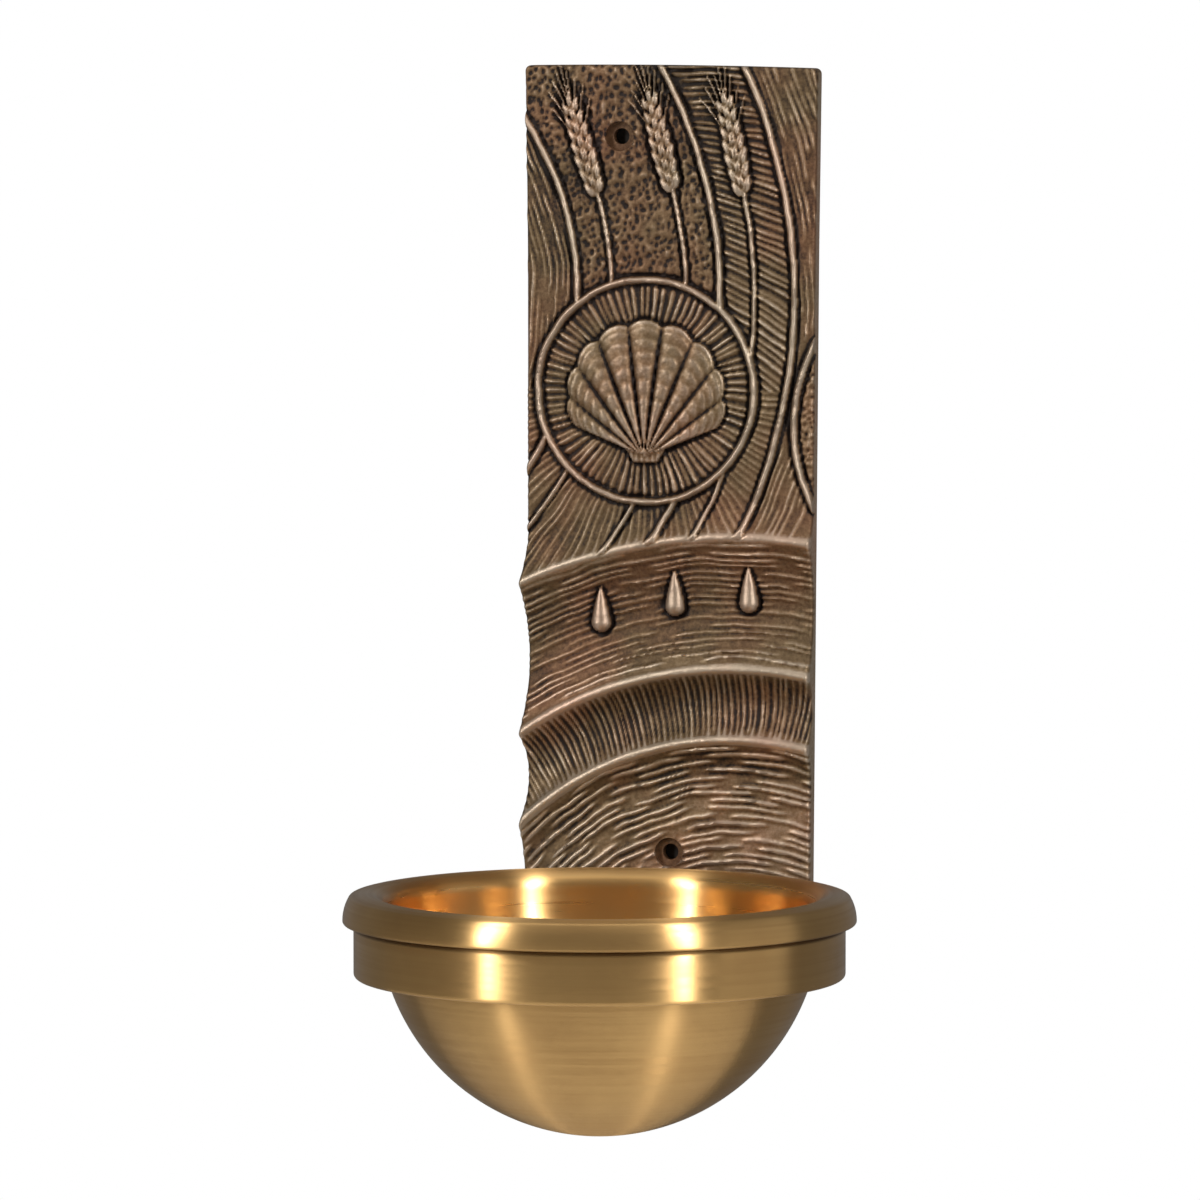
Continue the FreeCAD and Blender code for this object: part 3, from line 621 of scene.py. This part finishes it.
def write_rub_and_painted_light(plate, grid_x, grid_z, grid_depth):
    """How much each point of the plate is rubbed bright, with painted light added: high lines stand over
    their surroundings, the foot by the bowl is painted lighter, the back stays dull and the sides are
    lighter.
    It is worked out on the relief's grid."""
    near, wide, broad = (blurred(grid_depth, reach) for reach in (0.9, 2.4, 9.0))
    rub_and_painted_light = 1.25 * (grid_depth - near) + 0.45 * (near - wide) + 0.05 * (wide - broad)
    # Painted light: lighter towards the foot by the bowl and to the right, darker towards the top; the lines'
    # contrast is raised at the foot and at the top.
    rub_and_painted_light *= 1.0 + 0.45 * smooth((75.0 - grid_z) / 45.0) + 0.25 * smooth((grid_z - 190.0) / 30.0)
    rub_and_painted_light += 0.13 * smooth((80.0 - grid_z) / 70.0) + 0.16 * smooth((42.0 - grid_z) / 22.0)
    rub_and_painted_light += 0.08 * smooth(grid_x / 25.0) - 0.15 * smooth((grid_z - 165.0) / 50.0)
    mesh = plate.data
    flat = np.empty(len(mesh.vertices) * 3)
    mesh.vertices.foreach_get("co", flat)
    x, y, z = flat.reshape(-1, 3).T / MM
    value, surface = read_grid(grid_x, grid_z, (rub_and_painted_light, grid_depth), x, z)
    front_reach, side_reach, back_rub, side_rub = 2.2, 0.2, -0.15, 0.4
    behind_front = surface + y > front_reach
    value = np.where(behind_front, back_rub, value)
    from_side = np.minimum(np.abs(x - left_edge(z)), np.abs(x - right_edge(z)))
    value = np.where(behind_front & (from_side < side_reach), side_rub, value)
    attribute = mesh.attributes.new("rub_and_painted_light", "FLOAT", "POINT")
    attribute.data.foreach_set("value", value.astype(np.float32))


def read_grid(grid_x, grid_z, fields, x, z):
    """Each field of the relief's grid at the points given, read between the four grid points around."""
    rows = grid_z[:, 0]
    upper = np.clip(np.searchsorted(rows, z), 1, len(rows) - 1)
    lower = upper - 1
    t = np.clip((z - rows[lower]) / (rows[upper] - rows[lower]), 0, 1)
    left, right = grid_x[lower, 0], grid_x[lower, -1]
    u = np.clip((x - left) / (right - left), 0, 1)
    row = grid_x[200]                         # the columns' shares of the width are alike in every row
    columns = (row - row[0]) / (row[-1] - row[0])
    after = np.clip(np.searchsorted(columns, u), 1, len(columns) - 1)
    before = after - 1
    s = np.clip((u - columns[before]) / (columns[after] - columns[before]), 0, 1)
    return [(field[lower, before] * (1 - s) + field[lower, after] * s) * (1 - t)
            + (field[upper, before] * (1 - s) + field[upper, after] * s) * t for field in fields]


# ---------------------------------------------------------------- bowl and ring
def arc_points(centre, radius, start, end, count):
    return [(centre[0] + radius * math.cos(math.radians(start + (end - start) * i / count)),
             centre[1] + radius * math.sin(math.radians(start + (end - start) * i / count)))
            for i in range(count + 1)]


def make_bowl():
    """The bowl as turned: hemisphere, seat, lip as a chain of tangent arcs, mouth and inside."""
    outside, inside, lip, foot, face, edge, mouth = 73.58, 70.6, 85.27, 1.0, 15.0, 1.6, 6.3
    face_turn, edge_turn, straight = 30.0, 75.0, 0.8
    edge_r = lip - face + (face - edge) * math.cos(math.radians(face_turn))
    edge_z = foot + (face - edge) * math.sin(math.radians(face_turn))
    rim = inside + mouth
    dome = edge + (edge_r - rim) / math.cos(math.radians(edge_turn))
    height = edge_z + dome - (dome - edge) * math.sin(math.radians(edge_turn))
    rise = height - mouth - straight
    profile = [(0.0, rise - outside)]
    neck = -math.degrees(math.asin(rise / outside))
    profile += arc_points((0, rise), outside, -90, neck, 72)[1:]
    profile += [(r, 0.0) for r in (75.0, 78.0, 81.0)]
    profile += arc_points((lip - foot, foot), foot, -90, 0, 8)
    profile += arc_points((lip - face, foot), face, 0, face_turn, 6)[1:]
    profile += arc_points((edge_r, edge_z), edge, face_turn, edge_turn, 5)[1:]
    profile += arc_points((rim, height - dome), dome, edge_turn, 90, 6)[1:]
    profile += arc_points((rim, height - mouth), mouth, 90, 180, 14)[1:]
    profile += arc_points((0, rise), inside, 0, -90, 72)[:-1]
    profile += [(0.0, rise - inside)]
    return turned("bowl_turned", profile, (0, BOWL_AXIS_Y, RING_TOP), LATHE_SIDES)


def make_ring():
    """Plain ring, rounded outside and chamfered inside, with its two tapped holes."""
    outer, bore, height, edge, chamfer = 81.6, 74.2, RING_HEIGHT, 1.5, 0.6
    profile = [(bore + chamfer, -height)]
    profile += arc_points((outer - edge, -height + edge), edge, -90, 0, 7)
    profile += [(outer, -height * t) for t in (0.7, 0.5, 0.3)]
    profile += arc_points((outer - edge, -edge), edge, 0, 90, 7)
    profile += [(bore + chamfer, 0), (bore, -chamfer), (bore, -height / 2), (bore, chamfer - height),
                (bore + chamfer, -height)]
    ring = turned("support_ring_turned", profile, (0, BOWL_AXIS_Y, RING_TOP), LATHE_SIDES)
    tapped_radius, tapped_end = 3.1, 60.0
    for side in (-1, 1):
        hole = [(0, 0.0), (tapped_radius, 0.0), (tapped_radius, tapped_end), (0, tapped_end)]
        carve(ring, turned("tapped", hole, (side * SCREW_X, 0, SCREW_Z), 40, OUTWARDS))
    return ring


def soften(obj, angle):
    """Smooth shading with crisp edges where faces meet at more than the angle."""
    for polygon in obj.data.polygons:
        polygon.use_smooth = True
    obj.data.set_sharp_from_angle(angle=math.radians(angle))


# ---------------------------------------------------------------- materials
class Nodes:
    """A short way to write a material's nodes."""

    def __init__(self, name):
        self.material = bpy.data.materials.new(name)
        self.material.use_nodes = True
        self.tree = self.material.node_tree
        self.shader = self.tree.nodes["Principled BSDF"]
        self.output = self.tree.nodes["Material Output"]

    def add(self, kind, **settings):
        node = self.tree.nodes.new(kind)
        for key, value in settings.items():
            setattr(node, key, value)
        return node

    def link(self, source, target):
        self.tree.links.new(source, target)

    def place(self, move=(0, 0, 0)):
        """Object coordinates in metres, moved by an offset."""
        where = self.add("ShaderNodeTexCoord")
        mapping = self.add("ShaderNodeMapping")
        mapping.inputs["Location"].default_value = move
        self.link(where.outputs["Object"], mapping.inputs["Vector"])
        return mapping.outputs["Vector"]

    def noise(self, vector, scale, detail=3.0, roughness=0.55):
        node = self.add("ShaderNodeTexNoise")
        node.inputs["Scale"].default_value = scale
        node.inputs["Detail"].default_value = detail
        node.inputs["Roughness"].default_value = roughness
        self.link(vector, node.inputs["Vector"])
        return node.outputs["Fac"]

    def maths(self, operation, a, b=None):
        node = self.add("ShaderNodeMath", operation=operation)
        for socket, value in zip(node.inputs, (a, b)):
            if value is None:
                continue
            if isinstance(value, (int, float)):
                socket.default_value = value
            else:
                self.link(value, socket)
        return node.outputs[0]

    def span(self, value, low, high, to_low=0.0, to_high=1.0):
        node = self.add("ShaderNodeMapRange")
        for key, number in (("From Min", low), ("From Max", high), ("To Min", to_low), ("To Max", to_high)):
            node.inputs[key].default_value = number
        self.link(value, node.inputs["Value"])
        return node.outputs["Result"]

    def ramp(self, value, stops):
        node = self.add("ShaderNodeValToRGB")
        elements = node.color_ramp.elements
        while len(elements) < len(stops):
            elements.new(0.5)
        for element, (at, colour) in zip(elements, stops):
            element.position = at
            element.color = (*colour, 1)
        self.link(value, node.inputs["Fac"])
        return node.outputs["Color"]

    def mix(self, share, a, b):
        node = self.add("ShaderNodeMix", data_type="RGBA")
        for socket, value in ((node.inputs[0], share), (node.inputs[6], a), (node.inputs[7], b)):
            if isinstance(value, tuple):
                socket.default_value = (*value, 1)
            elif isinstance(value, (int, float)):
                socket.default_value = value
            else:
                self.link(value, socket)
        return node.outputs[2]

    def open_behind(self, surface):
        """Sends a surface to the output, see-through from its back."""
        behind = self.add("ShaderNodeNewGeometry")
        clear = self.add("ShaderNodeBsdfTransparent")
        sided = self.add("ShaderNodeMixShader")
        self.link(behind.outputs["Backfacing"], sided.inputs[0])
        self.link(surface, sided.inputs[1])
        self.link(clear.outputs[0], sided.inputs[2])
        self.link(sided.outputs[0], self.output.inputs["Surface"])

    def bump(self, height, strength, distance, under=None):
        node = self.add("ShaderNodeBump")
        node.inputs["Strength"].default_value = strength
        node.inputs["Distance"].default_value = distance
        self.link(height, node.inputs["Height"])
        if under is not None:
            self.link(under, node.inputs["Normal"])
        return node.outputs["Normal"]


def linear(r, g, b):
    """A colour given as 0 to 255 sRGB, as linear light."""
    def one(value):
        value /= 255
        return value / 12.92 if value <= 0.04045 else ((value + 0.055) / 1.055) ** 2.4
    return one(r), one(g), one(b)


PATINA_LEVELS = (0.06, 0.28, 0.47, 0.66, 0.95)           # from the grooves' floors to the rubbed lines
PATINA_BROWN = ((26, 16, 8), (84, 65, 41), (109, 89, 63), (133, 114, 90), (170, 153, 133))
PATINA_WARM = ((31, 15, 8), (97, 65, 43), (122, 89, 63), (144, 114, 91), (177, 149, 129))


def patinated_bronze():
    """Cast bronze with a dark patina in its recesses, rubbed bright on its high lines, with painted light
    that makes its foot lighter.
    """
    n = Nodes("patinated_bronze")
    where = n.place()
    # The attribute holds the rubbed patina together with the painted light of the plate's foot, right and
    # top.
    rub_and_painted_light = n.add("ShaderNodeAttribute", attribute_name="rub_and_painted_light").outputs["Fac"]
    patches = n.noise(where, 55, 4, 0.6)
    fine = n.noise(where, 900, 3, 0.6)
    speckle = n.noise(where, 2600, 2, 0.5)
    tone = n.maths("ADD", rub_and_painted_light, n.span(fine, 0.3, 0.7, -0.13, 0.13))
    tone = n.maths("ADD", tone, n.span(patches, 0.3, 0.7, -0.07, 0.07))
    level = n.span(tone, -0.55, 0.75)
    brown, warm = (n.ramp(level, [(at, linear(*tint)) for at, tint in zip(PATINA_LEVELS, tints)])
                   for tints in (PATINA_BROWN, PATINA_WARM))
    colour = n.mix(n.span(n.noise(where, 24, 3), 0.45, 0.65), brown, warm)
    n.link(colour, n.shader.inputs["Base Color"])
    n.link(n.span(level, 0.25, 0.7, 0.55, 0.78), n.shader.inputs["Metallic"])
    roughness = n.maths("ADD", n.span(level, 0.2, 0.8, 0.60, 0.42), n.span(speckle, 0.3, 0.7, -0.06, 0.06))
    n.link(roughness, n.shader.inputs["Roughness"])
    pores = n.bump(n.noise(where, 1500, 4, 0.62), 0.5, 0.00022)
    n.link(n.bump(n.noise(where, 420, 3), 0.45, 0.0005, pores), n.shader.inputs["Normal"])
    return n.material


def turned_bronze(name):
    """Satin bronze straight from the lathe: fine rings about the bowl's axis, faint tarnish, and a smoother
    inside painted lighter and warmer as light bouncing within the bowl. A painted shadow line darkens the
    lip's underside and the ring's top edge where they meet."""
    roughness, anisotropy = 0.35, 0.97
    inside_ends, outside_starts = 71.8, 72.4          # as distances from the bowl's centre
    n = Nodes(name)
    where = n.place(move=(0, -BOWL_AXIS_Y * MM, 0))
    split = n.add("ShaderNodeSeparateXYZ")
    n.link(where, split.inputs[0])
    squares = n.maths("ADD", n.maths("MULTIPLY", split.outputs["X"], split.outputs["X"]),
                      n.maths("MULTIPLY", split.outputs["Y"], split.outputs["Y"]))
    radius = n.maths("SQRT", squares)
    rings = n.add("ShaderNodeCombineXYZ")
    n.link(radius, rings.inputs["X"])
    n.link(n.maths("MULTIPLY", split.outputs["X"], 0.012), rings.inputs["Y"])
    n.link(split.outputs["Z"], rings.inputs["Z"])
    fine = n.noise(rings.outputs[0], 3800, 2, 0.7)
    coarse = n.noise(rings.outputs[0], 700, 3, 0.6)
    cloud = n.noise(where, 26, 3, 0.55)
    colour = n.mix(n.span(cloud, 0.35, 0.65), linear(215, 174, 114), linear(205, 164, 107))
    colour = n.mix(n.span(coarse, 0.35, 0.7, 0.0, 0.22), colour, linear(193, 148, 93))
    # Painted light: the inside of the bowl is painted lighter and warmer, for light bouncing within it; it is
    # also made smoother.
    from_centre = n.maths("SUBTRACT", split.outputs["Z"], BOWL_CENTRE_Z * MM)
    from_centre = n.maths("SQRT", n.maths("ADD", squares, n.maths("POWER", from_centre, 2.0)))
    inside = n.span(from_centre, inside_ends * MM, outside_starts * MM, 1.0, 0.0)
    colour = n.mix(inside, colour, linear(224, 179, 115))
    # Painted shadow: a dark band across the lip's underside and the ring's top edge, where the lip shades the
    # ring; it is also made rougher.
    shadow_line_z = (RING_TOP - 0.7) * MM
    from_shadow_line = n.maths("ABSOLUTE", n.maths("SUBTRACT", split.outputs["Z"], shadow_line_z))
    painted_shadow = n.maths("MULTIPLY", n.span(from_shadow_line, 0.6 * MM, 1.4 * MM, 0.62, 0.0),
                   n.span(radius, 74.0 * MM, 74.5 * MM))
    colour = n.mix(painted_shadow, colour, linear(70, 42, 20))
    n.link(colour, n.shader.inputs["Base Color"])
    n.shader.inputs["Metallic"].default_value = 1.0
    matte = n.maths("ADD", n.span(coarse, 0.3, 0.7, roughness - 0.04, roughness + 0.05),
                    n.span(cloud, 0.3, 0.7, -0.02, 0.03))
    matte = n.maths("ADD", matte, n.maths("MULTIPLY", inside, -0.04))
    n.link(n.maths("ADD", matte, n.maths("MULTIPLY", painted_shadow, 0.25)), n.shader.inputs["Roughness"])
    n.shader.inputs["Anisotropic"].default_value = anisotropy
    n.shader.inputs["Anisotropic Rotation"].default_value = 0.25
    tangent = n.add("ShaderNodeTangent", direction_type="RADIAL", axis="Z")
    n.link(tangent.outputs[0], n.shader.inputs["Tangent"])
    n.link(n.bump(fine, 0.12, 0.00004, n.bump(coarse, 0.10, 0.00012)), n.shader.inputs["Normal"])
    return n.material


def plain_metal(name, dark, light, roughness, scale):
    """A small fitting: brushed or tumbled metal with slight stains."""
    n = Nodes(name)
    where = n.place()
    stain = n.noise(where, scale / 6, 3)
    n.link(n.mix(n.span(stain, 0.35, 0.68), light, dark), n.shader.inputs["Base Color"])
    n.shader.inputs["Metallic"].default_value = 1.0
    n.link(n.span(n.noise(where, scale, 3), 0.3, 0.7, roughness - 0.08, roughness + 0.1),
           n.shader.inputs["Roughness"])
    n.link(n.bump(n.noise(where, scale * 3, 3), 0.25, 0.00008), n.shader.inputs["Normal"])
    return n.material


def finish_with(obj, material):
    obj.data.materials.clear()
    obj.data.materials.append(material)
    for polygon in obj.data.polygons:
        polygon.material_index = 0


# ---------------------------------------------------------------- the pieces
plate = make_backplate()
finish_with(plate, patinated_bronze())
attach(plate, "wall_unit")
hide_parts("backplate")

bowl = make_bowl()
soften(bowl, 40)
finish_with(bowl, turned_bronze("turned_bronze_bowl"))
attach(bowl, "bowl")
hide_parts("bowl")

ring = make_ring()
soften(ring, 40)
finish_with(ring, turned_bronze("turned_bronze_ring"))
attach(ring, "wall_unit")
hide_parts("support_ring")

saddle_bronze = plain_metal("saddle_bronze", linear(150, 112, 70), linear(196, 156, 104), 0.38, 500)
screw_brass = plain_metal("screw_brass", linear(176, 138, 76), linear(222, 186, 118), 0.28, 800)
washer_bronze = plain_metal("washer_bronze", linear(132, 96, 62), linear(188, 148, 102), 0.36, 800)
for node, material in (("ring_saddle", saddle_bronze), ("ring_screw_left", screw_brass),
                       ("ring_screw_right", screw_brass), ("lock_washer_left", washer_bronze),
                       ("lock_washer_right", washer_bronze)):
    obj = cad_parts[node]
    for slot in obj.material_slots:
        slot.material = material


# ---------------------------------------------------------------- floor, wall, light and camera
def flat_stage(name, points, material):
    """One flat face of the studio, which isn't part of the object."""
    mesh = bpy.data.meshes.new(name)
    mesh.from_pydata(points, [], [tuple(range(len(points)))])
    obj = add_object(name, mesh)
    obj.data.materials.append(material)


WALL_IN_METAL = 0.19         # how bright the white wall shows in metal, so the bowl's ends stay dark


def wall_material():
    """White to the eye, dimmer in reflections, plain white paint to the light, and open from behind."""
    n = Nodes("white_wall")
    n.shader.inputs["Base Color"].default_value = (0.8, 0.8, 0.8, 1)
    n.shader.inputs["Roughness"].default_value = 0.9
    glow = n.add("ShaderNodeEmission")
    path = n.add("ShaderNodeLightPath")
    seen = n.maths("MAXIMUM", path.outputs["Is Camera Ray"], path.outputs["Is Transmission Ray"])
    reflected = n.maths("MULTIPLY", path.outputs["Is Glossy Ray"], WALL_IN_METAL)
    n.link(n.maths("MAXIMUM", reflected, seen), glow.inputs["Strength"])
    blend = n.add("ShaderNodeMixShader")
    n.link(n.maths("MAXIMUM", path.outputs["Is Glossy Ray"], seen), blend.inputs[0])
    n.link(n.shader.outputs[0], blend.inputs[1])
    n.link(glow.outputs[0], blend.inputs[2])
    n.open_behind(blend.outputs[0])
    return n.material


def floor_material():
    """Pale floor with faint clouding."""
    n = Nodes("pale_floor")
    where = n.place()
    n.link(n.mix(n.noise(where, 3, 3), (0.74, 0.74, 0.73), (0.80, 0.80, 0.79)), n.shader.inputs["Base Color"])
    n.shader.inputs["Roughness"].default_value = 0.7
    return n.material


# The studio's sizes are in metres
FLOOR_Z, WALL_Y, WALL_TOP, WALL_REACH = -0.75, 0.5, 2.6, 3
FLOOR_REACH, FLOOR_FRONT, FLOOR_BACK = 4, -5, 3
flat_stage("studio_wall", [(-WALL_REACH, WALL_Y, FLOOR_Z), (WALL_REACH, WALL_Y, FLOOR_Z),
                           (WALL_REACH, WALL_Y, WALL_TOP), (-WALL_REACH, WALL_Y, WALL_TOP)], wall_material())
flat_stage("studio_floor", [(-FLOOR_REACH, FLOOR_FRONT, FLOOR_Z), (FLOOR_REACH, FLOOR_FRONT, FLOOR_Z),
                            (FLOOR_REACH, FLOOR_BACK, FLOOR_Z), (-FLOOR_REACH, FLOOR_BACK, FLOOR_Z)],
           floor_material())


def hole_material():
    """Painted shade in a dusty hole drilled in a wall: near-black and faintly mottled."""
    n = Nodes("drilled_hole_dust")
    n.link(n.mix(n.noise(n.place(), 900, 3), (0.010, 0.008, 0.006), (0.03, 0.026, 0.022)),
           n.shader.inputs["Base Color"])
    n.shader.inputs["Roughness"].default_value = 0.95
    n.open_behind(n.shader.outputs[0])
    return n.material


DRILLED_RADIUS, BEHIND_PLATE = 4.2, 0.3
dust_and_shade = hole_material()
# Painted shade: a near-black disc just behind each wall-screw hole, where the hole in the wall would be dark.
for number, place in enumerate(WALL_HOLES):
    mouth = [(x * MM, BEHIND_PLATE * MM, z * MM) for x, z in round_outline(*place, DRILLED_RADIUS, 40)]
    flat_stage("drilled_hole_%d" % number, mouth, dust_and_shade)


def look_at(obj, target, azimuth, elevation, distance):
    """Sets an object round a target and turns it there: azimuth 0 is in front, and 90 is on the right."""
    a, e = math.radians(azimuth), math.radians(elevation)
    back = Vector((math.sin(a) * math.cos(e), -math.cos(a) * math.cos(e), math.sin(e)))
    obj.location = target + back * distance
    obj.rotation_euler = back.to_track_quat("Z", "Y").to_euler()


# Each lamp: azimuth, elevation, distance in metres, width and height in metres, and power in watts. The two
# strips draw the upright bars on the bowl.
LAMPS = {
    "strip_left": (-36.5, 22, 1.5, (0.10, 1.25), 15),
    "strip_right": (53.0, 22, 1.5, (0.10, 1.25), 16),
    "side_fill": (95, 8, 1.5, (1.4, 1.2), 2.0),
    "top_fill": (4, 80, 1.6, (1.3, 1.0), 5.5),
}
LAMP_TARGET = Vector((0.0, -0.06, 0.05))
for name, (azimuth, elevation, distance, size, power) in LAMPS.items():
    lamp = bpy.data.lights.new(name, "AREA")
    lamp.shape = "RECTANGLE"
    lamp.size, lamp.size_y = size
    lamp.energy = power
    look_at(add_object(name, lamp), LAMP_TARGET, azimuth, elevation, distance)

world = bpy.data.worlds.new("studio")
bpy.context.scene.world = world
world.use_nodes = True
background = world.node_tree.nodes["Background"]
background.inputs["Color"].default_value = (1.0, 0.95, 0.88, 1)
background.inputs["Strength"].default_value = 0.18

CAMERA_AZIMUTH, CAMERA_ELEVATION, CAMERA_DISTANCE, CAMERA_LENS = 14.92, 4.38, 2.8, 249.57
CAMERA_TARGET = Vector((-0.01272, -0.050, 0.08954))
camera_data = bpy.data.cameras.new("camera")
camera_data.lens = CAMERA_LENS
camera_data.sensor_width = 36.0
camera_data.clip_end = 50
camera = add_object("camera", camera_data)
look_at(camera, CAMERA_TARGET, CAMERA_AZIMUTH, CAMERA_ELEVATION, CAMERA_DISTANCE)
bpy.context.scene.camera = camera
bpy.context.scene.view_settings.view_transform = "Standard"
